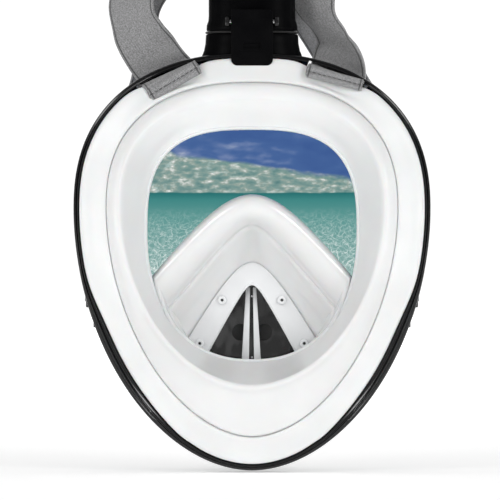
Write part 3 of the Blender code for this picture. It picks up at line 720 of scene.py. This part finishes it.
def makeRetainer():
    near, far, outer, inner = retainer["near"], retainer["far"], retainer["outer"], retainer["inner"]
    rows = [(outer, far), (outer, near + 0.6), (grownA(outer, -0.5), near + 0.1), (grownA(outer, -1.2), near),
            (grownA(inner, 2.6), near), (grownA(inner, 1.9), near - 0.2), (grownA(inner, 1.5), near - 0.8),
            (grownA(inner, 0.7), near - 1.0), (grownA(inner, 0.1), near - 0.6), (inner, near), (inner, far)]
    makePiece("retainerPlate", stacked(rows, 120, aPoint), white, stands=["cup_retainer"], sharp=60)
    head = [(0.75, -1.0), (0.95, -1.75), (1.5, -1.95), (2.1, -1.75), (2.5, -1.1), (2.5, -0.3), (1.1, -0.3),
            (1.1, 0)]
    # a black disc in each white screw's socket is painted shade, standing for the dark of the hole
    socket = [(0, -1.25), (0.72, -1.25), (0.72, -1.0), (0, -1.0)]
    for i, (x, z) in enumerate(cupScrews):
        profile = [(0, -1.0)] + head + [(0, 0)]
        makePiece("cupScrew%d" % (i + 1), turned(profile, (x, near, z), (0, 1, 0)), white,
                  stands=["cup_screw_%d" % (i + 1)], sharp=50)
        makePiece("screwSocketShade%d" % (i + 1), turned(socket, (x, near, z), (0, 1, 0), 20), rubber)
    print("retainer made")


post = {"far": 28.7, "depth": 4.2, "top": -43.0, "foot": -88.0}


def makePost():
    bars = {"left": ((-3.4, -1.1), (-6.0, -1.7), 16.0), "right": ((0.5, 2.4), (1.2, 5.3), -20.0)}
    for name, (top, foot, slant) in bars.items():
        bm = boxShape((0, 0, 0), (1, 1, 1))
        for vert in bm.verts:
            u, v, w = vert.co / mm
            low, high = (Vector(foot).lerp(Vector(top), w))
            x = low + (high - low) * u
            edge = abs(x) / 6.0
            y = post["far"] - post["depth"] * (1 - v) - (1 - v) * (1.6 - edge * 1.6)
            z = post["foot"] + (post["top"] - post["foot"]) * w
            vert.co = Vector((x, y, z)) * mm
        makePiece(name + "PostBar", bm, white, stands=["centre_post"] if name == "left" else (), bevel=0.25)
    print("post made")


# front housing with its drain
housing = {"half": 40.0, "mid": -60.0, "up": 33.0, "down": 34.0, "back": 21.3, "waist": 40.0, "front": 50.0,
           "wall": 2.5}


def makeHousing():
    body = (housing["half"], housing["mid"], housing["up"], housing["down"], 2.4, 2.4)
    nose = (housing["half"] - 7, housing["mid"], housing["up"] - 6, housing["down"] - 6, 2.4, 2.4)
    wall, back, waist, front = housing["wall"], housing["back"], housing["waist"], housing["front"]
    rows = [(grown(body, -0.6), back), (body, back + 0.6), (body, waist - 4), (grown(body, -0.6), waist),
            (grown(body, -2.6), waist + 4), (grown(nose, 1.2), front - 2.2), (nose, front - 0.6),
            (grown(nose, -0.6), front), (grown(nose, -wall), front), (grown(nose, -wall), front - 4),
            (grown(body, -wall - 1), waist), (grown(body, -wall), waist - 4), (grown(body, -wall), back + 3),
            (grownA(cupHole, 0.4), back + 3), (grownA(cupHole, 0.4), back)]

    def outline(shape, turn):  # the back hole is an A, whose top lies above the housing's middle
        return (aPoint if shape[1] > housing["mid"] else eggPoint)(shape, turn)
    makePiece("snoutShell", stacked(rows, 120, outline), black, stands=["front_housing"], sharp=40)
    lid = makePiece("drainGrille", eggPrism(grown(nose, -wall - 0.3), front - 3, front), black,
                    stands=["drain_cover"], bevel=0.5)
    settle(lid)
    levels = [housing["mid"] + 12 - 6 * k for k in range(5)]
    carve(lid, [boxShape((-16, front - 5, z - 1.3), (16, front + 2, z + 1.3), 0.6) for z in levels])
    print("housing made")


def makeDucts():
    low, high = rim["front"] + 0.3, rim["front"] + 3.2
    section = [(2.2, low), (2.2, high - 1.2), (2.6, high - 0.4), (3.6, high), (7.4, high), (8.4, high - 0.4),
               (8.8, high - 1.2), (8.8, low)]
    for side, first, last in (("right", rimTurn(-118), rimTurn(-78)),
                              ("left", -math.pi - rimTurn(-78), -math.pi - rimTurn(-118))):
        def place(u, v):
            inset, y = section[round(v * len(section)) % len(section)]
            taper = min(1.0, 4.5 * u, 4.5 * (1 - u)) ** 0.5
            middle = 5.5
            inset = middle + (inset - middle) * (0.35 + 0.65 * taper)
            return rimPoint(inset, low + (y - low) * (0.3 + 0.7 * taper), first + (last - first) * u)
        bm = capEnds(gridSurface(40, len(section), place, wrapV=True))
        makePiece("ductCover" + side.title(), bm, black, stands=["side_duct_cover_" + side], sharp=45)
    print("ducts made")


# snorkel
tube = {"half": 24.0, "deep": 13.5, "wall": 1.8, "middle": 10.0, "lean": 8.0, "foot": 87.4, "top": 300.0,
        "shoulder": 99.0, "leanFrom": 105.0}


def tubeMiddle(z):
    rise = max(0.0, (z - tube["leanFrom"]) / (tube["top"] - tube["leanFrom"]))
    return tube["middle"] - tube["lean"] * rise * rise


def makeSnorkel():
    half, deep, wall, top = tube["half"], tube["deep"], tube["wall"], tube["top"]
    foot, shoulder = tube["foot"], tube["shoulder"]
    levels = [shoulder + 8 + (top - shoulder - 8) * k / 12 for k in range(13)]
    rows = [(half - 0.8, deep - 1.4, foot), (half - 0.8, deep - 1.4, shoulder), (half + 1.0, deep + 0.6, shoulder),
            (half + 1.2, deep + 0.8, shoulder + 0.5), (half + 1.1, deep + 0.7, shoulder + 3),
            (half + 0.2, deep + 0.1, shoulder + 5.5)]
    rows += [(half, deep, z) for z in levels]
    rows += [(half - wall, deep - wall, z) for z in reversed(levels)]
    rows += [(half - 0.8 - wall, deep - 1.4 - wall, foot)]
    bm = ovalShell(rows, tubeMiddle, closed=True)
    makePiece("snorkelShell", bm, satinBlack, "snorkel", ["snorkel_tube"], sharp=40)
    for side in (1, -1):
        x = side * 13.5
        lug = boxShape((x - 1.2, -8.6, 100.9), (x + 1.2, -1.6, 105.9), 0.5)
        makePiece("hingeLug%d" % (1 if side > 0 else 2), lug, black, "snorkel")
    seal = [(half + 1.6, deep + 1.0, 97.5), (half + 1.9, deep + 1.3, 98.0), (half + 1.6, deep + 1.0, 98.5),
            (23.6, 12.5, 98.6), (23.6, 12.5, 97.4)]
    makePiece("footSeal", ovalShell(seal, tube["middle"], closed=True), rubber, "snorkel", ["foot_seal"], sharp=60)
    y = tubeMiddle(top)
    base = [(half + 2.6, deep + 2.2, 290.0), (half + 3.2, deep + 2.8, 290.8), (half + 3.8, deep + 3.4, 300),
            (half + 4.0, deep + 3.6, 303.6), (half + 3.6, deep + 3.2, 304.0), (21, 10.5, 304.0), (21, 10.5, 300.3),
            (half + 0.3, deep + 0.3, 300.3), (half + 0.3, deep + 0.3, 290.0)]
    makePiece("dryTopBase", ovalShell(base, y, closed=True), black, "snorkel", ["dry_top_base"], sharp=40)
    outer = [(half + 4.6, deep + 4.2, 304.3), (half + 5.0, deep + 4.6, 304.8), (half + 5.0, deep + 4.6, 327.0),
             (half + 4.6, deep + 4.2, 330.5), (half + 3.2, deep + 2.9, 334.5), (half + 1.0, deep + 1.0, 338.0),
             (half - 1.6, deep - 1.4, 340.2), (half - 4.0, deep - 3.4, 341.0)]
    inner = [(half + 3.0, deep + 2.6, 302), (half + 3.0, deep + 2.6, 328), (half, deep - 0.2, 336.0),
             (half - 4.0, deep - 3.6, 338.7)]
    cap = makePiece("dryCap", ovalShell(outer, y, closeEnds=True), orange, "snorkel", ["top_cap"], sharp=45)
    vents = [boxShape((-40, y - 6, 307.3 + 5 * k), (40, y + 6, 309.9 + 5 * k), 0.8) for k in range(3)]
    carve(cap, [ovalShell(inner, y, closeEnds=True)] + vents)
    for k, x in enumerate((-13, 13)):
        profile = [(0, 0.7), (0.8, 0.7), (0.9, 1.5), (1.6, 1.5), (2.2, 1.0), (2.2, 0.3), (0, 0.3)]
        makePiece("capScrew%d" % (k + 1), turned(profile, (x, y, 341), (0, 0, 1)), steel, "snorkel",
                  ["cap_screw_%d" % (k + 1)])
    print("snorkel made")


latch = {"half": 11.5, "near": -11.1, "far": -8.1, "foot": 79.0, "top": 110.0, "corner": 3.6}


def makeLatch():
    half, foot, top, near, far = latch["half"], latch["foot"], latch["top"], latch["near"], latch["far"]
    bm = bmesh.new()
    bmesh.ops.create_cube(bm, size=1.0)
    bmesh.ops.scale(bm, vec=(2 * half, far - near, top - foot), verts=bm.verts)
    bmesh.ops.translate(bm, vec=(0, (near + far) / 2, (top + foot) / 2), verts=bm.verts)
    corners = [e for e in bm.edges if abs(e.verts[0].co.y - e.verts[1].co.y) > 1 and e.verts[0].co.z < foot + 1]
    bmesh.ops.bevel(bm, geom=corners, offset=latch["corner"], offset_type="OFFSET", affect="EDGES", segments=8,
                    profile=0.5, material=-1)
    bmesh.ops.scale(bm, vec=(mm, mm, mm), verts=bm.verts)
    tab = makePiece("latchTab", bm, satinBlack, "latch", ["latch_tab"], bevel=0.5)
    settle(tab)
    carve(tab, [boxShape((-4.7, near - 2, 88.5), (4.7, near + 1.2, 91.6), 0.4),
                boxShape((-7, near - 1, 87.1), (6, near + 0.3, 87.5))])
    makePiece("latchKnuckle", boxShape((-half, -9.1, 101), (half, -4.9, 105.8), 0.9), satinBlack, "latch")
    print("latch made")


# harness: webbing bands, the plate that joins them, their folded hems, adjusters and clips
strap = {"half": 16.0, "thick": 1.6, "lowerHalf": 11.0, "stations": 5}
yoke = {"half": 30.0, "middle": 150.0, "up": 24.0, "down": 26.0, "near": 29.0, "thick": 2.4}
upperRoutes = {
    "left": [((-41.6, -14.4, 67.2), (26, 0, 14)), ((-43.6, -14.2, 72.0), (26, 1, 13)),
             ((-45.8, -10.6, 74.4), (15, 2, 7)), ((-46.9, -2, 73.6), (14.7, 1.8, 6.6)),
             ((-47.0, 6, 73.8), (14.7, 1.8, 6.6)), ((-48.4, 11, 77.2), (14.7, 1.8, 6.6)),
             ((-52.6, 11.5, 82.5), (15.6, 0, 5.2)), ((-57.8, 11.8, 90.5), (15.6, -1, 3.6)),
             ((-63.4, 12.6, 101), (13.8, -8, 1.6)), ((-67.0, 15, 114), (12.2, -10, 0)),
             ((-62, 21, 131), (11, -7, 7)), ((-40, 25, 147), (5, -1, 14)), ((-19, 27.1, 152), (1, 0, 16))],
    "right": [((44.6, -14.4, 69.6), (26, 0, -7.5)), ((45.4, -14.2, 73.4), (26, -1, -8)),
              ((46.4, -10.6, 74.6), (15, -2, -5)), ((46.9, -2, 73.6), (14.7, -1.8, -6.2)),
              ((47.0, 6, 73.8), (14.7, -1.8, -6.6)), ((47.9, 10.6, 77.5), (14.8, -2.6, -5.6)),
              ((48.4, 12, 84.5), (13.6, -7.6, -4)), ((47.6, 13.5, 91.5), (10.4, -11.8, -2)),
              ((43.6, 15, 98), (10.6, -11.4, -3.4)), ((38.6, 17, 104.5), (12.8, -9, -4.4)),
              ((32.4, 20, 115), (13.2, -8, -4)), ((30.5, 23, 129), (14, -3, 3)),
              ((27, 25, 142), (9, 0, 13)), ((19, 27.1, 152), (1, 0, 16))],
}
lowerTops = {
    "left": [((-14, 32.8, 136), (0.2, 0, -1)), ((-32, 34.3, 137), (0.1, 0, -1)), ((-51, 40, 130), (0.5, 0, -0.87)),
             ((-62, 45, 114), (0.9, 0.2, -0.4)), ((-60, 47, 96), (0.9, 0.4, -0.1)),
             ((-57.5, 47.5, 79), (0.85, 0.5, 0.1)), ((-65, 45, 60), (0.8, 0.6, 0.15)),
             ((-76.5, 38, 39), (0.7, 0.7, 0))],
    "right": [((14, 32.8, 134), (-0.7, 0, -0.7)), ((24, 34, 120), (-0.7, 0, -0.7)),
              ((35, 42, 104), (-0.7, 0, -0.7)),
              ((46, 47, 87), (-0.7, 0.15, -0.56)), ((56, 47.5, 71), (-0.73, 0.45, -0.35)),
              ((67, 44, 56), (-0.7, 0.6, -0.2)), ((77, 37, 39), (-0.64, 0.77, 0))],
}
clip = {"level": -62.0, "lean": 50.0, "inset": 8.8, "stand": 3.0, "thick": 3.0, "stud": 2.6}


def band(name, stations, half, thick, stands=()):
    centres = [Vector(s[0]) for s in stations]
    widths = [Vector(s[1]).normalized() for s in stations]
    steps = strap["stations"] * 2 * (len(stations) - 1)
    line = [alongRows(centres, k / steps) for k in range(steps + 1)]
    length = sum((b - a).length for a, b in zip(line, line[1:]))

    def place(u, v):
        return (alongRows(centres, v) + alongRows(widths, v).normalized() * half * (2 * u - 1)) * mm
    bm = gridSurface(12, steps, place, uvScale=(1, length / (2 * half)))
    return makePiece(name, bm, webbing, stands=stands, wall=thick, bevel=0.45)


def clipPlace(side):
    x, y, z = rimPoint(clip["inset"], rim["front"], rimTurn(clip["level"])) / mm
    return Vector((side * x, y, z))


def clipAxes(side):
    lean = math.radians(clip["lean"])
    outward = Vector((side * math.sin(lean), math.cos(lean), 0))
    return Vector((-side * math.cos(lean), math.sin(lean), 0)), outward, Vector((0, 0, 1))


def alongAxes(middle, axes, low, high, round=0.0):
    return boxShape(middle + Vector(low), middle + Vector(high), round, Matrix(axes).transposed(), middle)


def lowerStations(side, top):
    width, outward, up = clipAxes(side)
    first, last = Vector((side * 82.5, 27, 16)), Vector((side * 83.5, 12, -24))
    foot = clipPlace(side) + outward * (clip["stand"] + clip["thick"] + 0.3 + strap["thick"] / 2 + 0.2) + up * 8
    straight = (first, first.lerp(last, 0.5), last, last.lerp(foot, 0.5), foot)
    return top + [(tuple(point), tuple(width)) for point in straight], first, last


# a folded hem: an oval roll along the strap's end, with a row of stitches
hems = {"left": {"ends": ((-56.0, -14.2, 62.6), (-29.6, -14.2, 78.2)), "wide": 7.6, "thick": 4.2},
        "right": {"ends": ((30.0, -14.2, 76.0), (60.4, -15.2, 68.0)), "wide": 6.6, "thick": 4.2}}


def makeHem(side):
    first, last = (Vector(p) for p in hems[side]["ends"])
    run = (last - first).normalized()
    out = Vector((0, -1, 0))
    up = run.cross(out) * (1 if run.cross(out).z > 0 else -1)
    wide, thick = hems[side]["wide"] / 2, hems[side]["thick"] / 2

    def place(u, v):
        x, y = eggPoint((wide, 0, thick, thick, 3.2, 3.2), fullTurn * v)
        y *= 0.55 + 0.45 * math.sqrt(abs(math.sin(math.pi * x / wide)))  # two lobes beside the seam
        return (first.lerp(last, u) + up * x + out * y) * mm
    bm = capEnds(gridSurface(30, 36, place, wrapV=True, uvScale=(1, 0.6)))
    makePiece("strapHem" + side.title(), bm, webbing, bevel=0.3)
    stitches = bmesh.new()
    count = 11
    for k in range(count):
        spot = first.lerp(last, (k + 0.5) / count) + out * (thick * 0.62 + 0.1)
        one = rodShape(spot - run * 0.85, spot + run * 0.85, 0.26, 8)
        mesh = bpy.data.meshes.new("one")
        one.to_mesh(mesh)
        one.free()
        stitches.from_mesh(mesh)
        bpy.data.meshes.remove(mesh)
    makePiece("hemStitch" + side.title(), stitches, thread)


def makeHarness():
    for side in ("left", "right"):
        band("upperStrap" + side.title(), upperRoutes[side], strap["half"], strap["thick"],
             ["upper_strap_" + side])
        makeHem(side)
    near, thick = yoke["near"], yoke["thick"]
    plate = (yoke["half"], yoke["middle"], yoke["up"], yoke["down"], 2.8, 2.8)
    rows = [(grown(plate, -0.8), near), (grown(plate, -0.2), near + 0.3), (plate, near + thick / 2),
            (grown(plate, -0.2), near + thick - 0.3), (grown(plate, -0.8), near + thick)]
    makePiece("strapYoke", capEnds(stacked(rows, 90, eggPoint, closed=False)), yokeCloth, stands=["back_yoke"])
    for side, sign in (("left", -1), ("right", 1)):
        stations, first, last = lowerStations(sign, lowerTops[side])
        band("lowerStrap" + side.title(), stations, strap["lowerHalf"], strap["thick"], ["lower_strap_" + side])
        width, outward, up = clipAxes(sign)
        run = (last - first).normalized()
        across = (width - run * width.dot(run)).normalized()
        axes, middle = (across, across.cross(run), run), (first + last) / 2
        body = alongAxes(middle, axes, (-14, -2.9, -5), (14, 2.9, 5), 1.1)
        ring = makePiece("adjuster" + side.title(), body, black, "adjuster_" + side, ["strap_adjuster_" + side])
        gapHalf = strap["lowerHalf"] + 0.7
        carve(ring, [alongAxes(middle, axes, (-gapHalf, -1.6, -7), (gapHalf, 1.6, 7), 0.4),
                     alongAxes(middle, axes, (-gapHalf, -6, -3.4), (gapHalf, -0.5, -1.4), 0.3),
                     alongAxes(middle, axes, (-gapHalf, -6, 1.4), (gapHalf, -0.5, 3.4), 0.3)])
        base, axes = clipPlace(sign), (width, outward, up)
        low, high = clip["stand"] + 0.3, clip["stand"] + clip["thick"]
        half = strap["lowerHalf"]
        body = alongAxes(base, axes, (-half - 1.5, low, 4.5), (half + 1.5, high, 16), 0.6)
        hook = makePiece("strapClip" + side.title(), body, black, "clip_" + side, ["lower_clip_" + side])
        carve(hook, [alongAxes(base, axes, (-half, -2, 9), (half, 12, 12.5), 0.5)])
        foot = alongAxes(base, axes, (-6.6, low + 0.2, -6.6), (6.6, high - 0.2, 6), 0.5)
        eye = makePiece("clipEye" + side.title(), foot, black, "clip_" + side)
        carve(eye, [rodShape(base, base + outward * 12, clip["stud"] + 0.3)])
        stand, r = clip["stand"], clip["stud"]
        stud = [(0, 0), (5, 0), (5, stand - 0.4), (4.7, stand), (r, stand), (r, 5.9), (r - 0.3, 6.4), (0, 6.4)]
        makePiece("strapStud" + side.title(), turned(stud, base, outward), black)
    print("harness made")


# finishes of the working pieces inside, whose CAD shapes stay
innerFinishes = {
    "latch_pin": steel, "float_guide_pin": steel, "post_screw_top": steel, "post_screw_bottom": steel,
    "drain_flap": rubber, "float_seal": rubber, "drain_valve_seat": rippledBlack, "float": floatShell,
    **{"frame_screw_%d" % k: steel for k in (1, 2, 3, 4)},
    **{"inhale_valve_seat_" + side: white for side in ("left", "right")},
    **{"inhale_flap_" + side: cupSilicone for side in ("left", "right")},
    **{"tube_divider_" + side: black for side in ("left", "right")},
}


def finishInner():
    for node, finish in innerFinishes.items():
        materials = frame["nodes"][node].data.materials
        materials.clear()
        materials.append(finish)
    print("inner finishes set")


# camera, floor and light
studio = {"distance": 2.6, "lens": 339.5, "aim": (-0.0011, 0.0, -0.0222), "floor": -0.1445, "room": 6.0,
          "sweep": 0.9, "tall": 5.0, "floorGlow": [(0.05, 0.33), (1.1, 0.6), (3.0, 0.9)],
          "wallGlow": [(-1.5, 0.3), (1.5, 0.98)], "sky": 0.2}
panes = [  # name, place, width, height and power
    ("leftHigh", (-1.0, -1.3, 0.75), 0.45, 0.6, 6.0), ("rightHigh", (1.0, -1.3, 0.7), 0.45, 0.6, 6.8),
    ("leftLow", (-1.1, -1.3, -0.13), 0.4, 0.4, 5.4), ("rightLow", (1.1, -1.3, -0.13), 0.4, 0.4, 5.8),
    ("topPane", (0, 0.1, 1.5), 1.2, 0.8, 3.2),
]


def makeStudio():
    scene = bpy.context.scene
    camera = bpy.data.objects.new("camera", bpy.data.cameras.new("camera"))
    camera.data.sensor_width = 36.0
    camera.data.lens = studio["lens"]
    camera.data.clip_start, camera.data.clip_end = 0.05, 40.0
    aim = Vector(studio["aim"])
    camera.location = aim - Vector((0, studio["distance"], 0))
    camera.rotation_euler = (math.radians(90), 0, 0)
    scene.collection.objects.link(camera)
    scene.camera = camera
    scene.view_settings.view_transform = "Standard"

    room, sweep = studio["room"], studio["sweep"]

    def floorAt(u, v):
        around, reach = fullTurn * u, room * max(v, 1e-4)
        return Vector((reach * math.cos(around), reach * math.sin(around), studio["floor"]))

    def wallAtPlace(u, v):  # it sweeps up out of the floor on every side
        turn = min(1.0, v / 0.5) * math.pi / 2
        reach, around = room + sweep * math.sin(turn), fullTurn * u
        rise = sweep * (1 - math.cos(turn)) + max(0.0, (v - 0.5) / 0.5) * studio["tall"]
        return Vector((reach * math.cos(around), reach * math.sin(around), studio["floor"] + rise))

    for name, place, steps, tone, glow in (("floor", floorAt, 24, 0.93, studio["floorGlow"]),
                                           ("surround", wallAtPlace, 30, 0.1, studio["wallGlow"])):
        mesh = bpy.data.meshes.new(name)
        bm = gridSurface(96, steps, place, wrapU=True)
        bm.to_mesh(mesh)
        bm.free()
        mesh.shade_smooth()
        paper = newFinish(name + "Paper", grey(tone), 0.9, Emission_Color=(1, 1, 1, 1))
        spot = addNode(paper, "ShaderNodeTexCoord")
        split = addNode(paper, "ShaderNodeSeparateXYZ")
        join(paper, spot, "Object", split, "Vector")
        far = addNode(paper, "ShaderNodeMapRange")
        far.inputs["From Min"].default_value = -room
        far.inputs["From Max"].default_value = room
        join(paper, split, "Y", far, "Value")
        power = ramp(paper, far, "Result", [(0.5 + y / room / 2, grey(g)) for y, g in glow])
        join(paper, power, "Color", shaderOf(paper), "Emission Strength")
        mesh.materials.append(paper)
        piece = bpy.data.objects.new(name, mesh)
        scene.collection.objects.link(piece)

    world = bpy.data.worlds.new("softRoom")
    world.use_nodes = True
    sky = world.node_tree.nodes["Background"]
    sky.inputs["Color"].default_value = (1, 1, 1, 1)
    sky.inputs["Strength"].default_value = studio["sky"]
    scene.world = world

    for name, place, wide, tall, power in panes:
        light = bpy.data.lights.new(name, "AREA")
        light.shape = "RECTANGLE"
        light.size, light.size_y = wide, tall
        light.energy = power
        lamp = bpy.data.objects.new(name, light)
        lamp.location = place
        lamp.rotation_euler = (Vector((0, 0, -0.02)) - Vector(place)).to_track_quat("-Z", "Y").to_euler()
        scene.collection.objects.link(lamp)
    print("studio made")


makeStudio()
makeFrame()
makeLensDome()
makeSkirt()
makeNoseCup()
makeRetainer()
makePost()
makeHousing()
makeDucts()
makeSnorkel()
makeLatch()
makeHarness()
finishInner()
